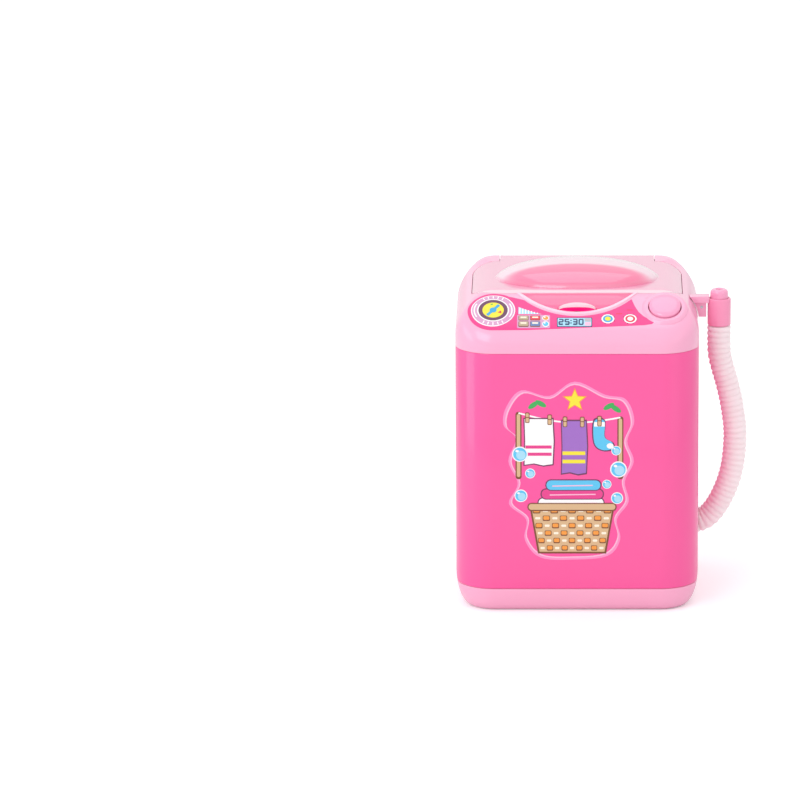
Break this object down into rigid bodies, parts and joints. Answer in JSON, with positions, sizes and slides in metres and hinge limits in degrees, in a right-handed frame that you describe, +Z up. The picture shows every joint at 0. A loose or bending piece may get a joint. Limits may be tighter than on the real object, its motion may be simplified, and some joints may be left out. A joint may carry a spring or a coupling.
{
  "type": "toy washing machine",
  "caption": "Top-loading toy washing machine with a lift-up bubble lid, sloped front with a push button, geared impeller in an oval tub, rear battery door and ribbed side drain hose.",
  "frame": {"origin": "middle of the flat underside of the base", "axes": "+Z up, -Y to the front with the sloped panel, +X to the side with the hose"},
  "size_m": [0.1261, 0.0956, 0.1459],
  "materials": {
    "hot_pink": "smooth, lightly glossy hot pink moulding",
    "pale_pink": "smooth, lightly glossy pale pink moulding",
    "mid_pink": "smooth, lightly glossy mid pink moulding",
    "lid_pink": "clear pink tint, glossy, lets the inside show faintly",
    "tub_pink": "deep pink moulding",
    "hose_clear": "milky soft hose, satin",
    "white_plastic": "white moulding, satin",
    "ivory_plastic": "off-white moulding, satin",
    "black_plastic": "black moulding, satin",
    "black_rubber": "soft black rubber",
    "steel": "plain plated steel",
    "cell_jacket": "printed foil jacket"
  },
  "bodies": {
    "housing": {"base_cover": "pale_pink", "body_shell": "hot_pink", "top_cover": "pale_pink", "power_switch": "black_plastic", "wash_tub": "tub_pink", "tub_seal": "black_rubber", "compound_axle": "steel", "motor_can": "steel", "motor_end_cap": "white_plastic", "gear_plate": "ivory_plastic", "gear_cover": "ivory_plastic", "battery_box": "hot_pink", "cell_1": "cell_jacket", "cell_2": "cell_jacket", "contact_bridge": "steel", "contact_positive": "steel", "contact_negative": "steel", "hose_bracket": "mid_pink", "bracket_pin": "steel", "hose_nozzle": "mid_pink", "drain_hose": "hose_clear", "base_screw_1": "steel", "base_screw_2": "steel", "base_screw_3": "steel", "base_screw_4": "steel", "tub_screw_1": "steel", "tub_screw_2": "steel", "tub_screw_3": "steel", "tub_screw_4": "steel", "gear_screw_1": "steel", "gear_screw_2": "steel", "gear_screw_3": "steel", "gear_screw_4": "steel"},
    "lid": {"lid": "lid_pink"},
    "button": {"power_button": "pale_pink", "switch_plunger": "white_plastic"},
    "impeller": {"impeller": "white_plastic", "output_shaft": "steel", "output_gear": "white_plastic"},
    "compound": {"compound_gear": "white_plastic"},
    "rotor": {"motor_shaft": "steel", "motor_pinion": "white_plastic"},
    "battery_door": {"battery_door": "hot_pink", "door_screw": "steel"}
  },
  "joints": [
    {"name": "lid_hinge", "type": "hinge", "parent": "housing", "child": "lid", "pos_m": [0, 0.043, 0.1345], "axis": [-1, 0, 0], "range_deg": [0, 100]},
    {"name": "button_press", "type": "slide", "parent": "housing", "child": "button", "axis": [0, 0.5075, -0.8616], "range_m": [0, 0.0022], "stiffness_N_per_m": 300},
    {"name": "impeller_spin", "type": "hinge", "parent": "housing", "child": "impeller", "pos_m": [0, -0.008, 0.05], "axis": [0, 0, 1], "continuous": true},
    {"name": "compound_spin", "type": "hinge", "parent": "housing", "child": "compound", "pos_m": [-0.01054, -0.01825, 0.0331], "axis": [0, 0, 1], "continuous": true},
    {"name": "motor_spin", "type": "hinge", "parent": "housing", "child": "rotor", "pos_m": [0, -0.0285, 0.033], "axis": [0, 0, 1], "continuous": true},
    {"name": "door_slide", "type": "slide", "parent": "housing", "child": "battery_door", "axis": [0, 1, 0], "range_m": [0, 0.02]}
  ],
  "couplings": [
    {"joint": "compound_spin", "follows": "impeller_spin", "ratio": -3.2},
    {"joint": "motor_spin", "follows": "impeller_spin", "ratio": 10.24}
  ]
}
